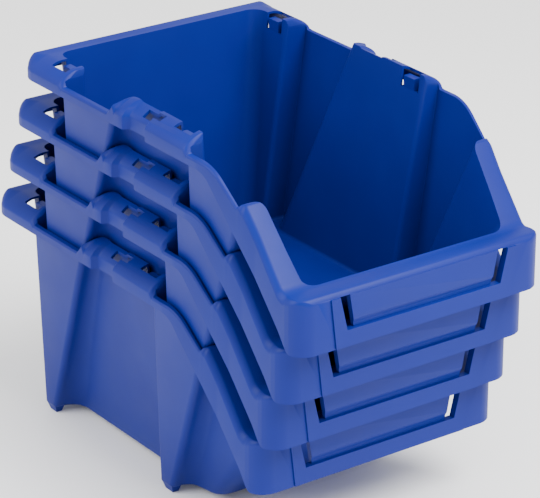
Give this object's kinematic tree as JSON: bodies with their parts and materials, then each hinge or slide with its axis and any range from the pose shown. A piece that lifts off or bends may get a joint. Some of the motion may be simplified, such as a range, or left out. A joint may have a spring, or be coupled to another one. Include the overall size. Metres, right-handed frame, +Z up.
{
  "type": "hanging parts bin",
  "caption": "Nested stack of open-front blue plastic parts bins with hollow side pillars, a hook-over back rim, stacking sockets and a label panel on the lip; each lifts off the one below.",
  "frame": {"origin": "centre of the nested stack's bounding box, at the level of the bottom bin's feet", "axes": "+Z up, -Y towards the bins' open front and label lip, +Y towards the back rim, +X to the right of someone behind the back rim looking at the front, so that X runs across the bins"},
  "size_m": [0.2252, 0.3902, 0.2993],
  "materials": {
    "blue_polypropylene": "moulded polypropylene with a fine satin grain"
  },
  "bodies": {
    "bin_1_bottom": {"bin_1_bottom": "blue_polypropylene"},
    "bin_2_lower_middle": {"bin_2_lower_middle": "blue_polypropylene"},
    "bin_3_upper_middle": {"bin_3_upper_middle": "blue_polypropylene"},
    "bin_4_top": {"bin_4_top": "blue_polypropylene"}
  },
  "joints": [
    {"name": "lift_bin_2_lower_middle", "type": "slide", "parent": "bin_1_bottom", "child": "bin_2_lower_middle", "axis": [0, 0, 1], "range_m": [0, 0.15]},
    {"name": "lift_bin_3_upper_middle", "type": "slide", "parent": "bin_2_lower_middle", "child": "bin_3_upper_middle", "axis": [0, 0, 1], "range_m": [0, 0.15]},
    {"name": "lift_bin_4_top", "type": "slide", "parent": "bin_3_upper_middle", "child": "bin_4_top", "axis": [0, 0, 1], "range_m": [0, 0.15]}
  ]
}
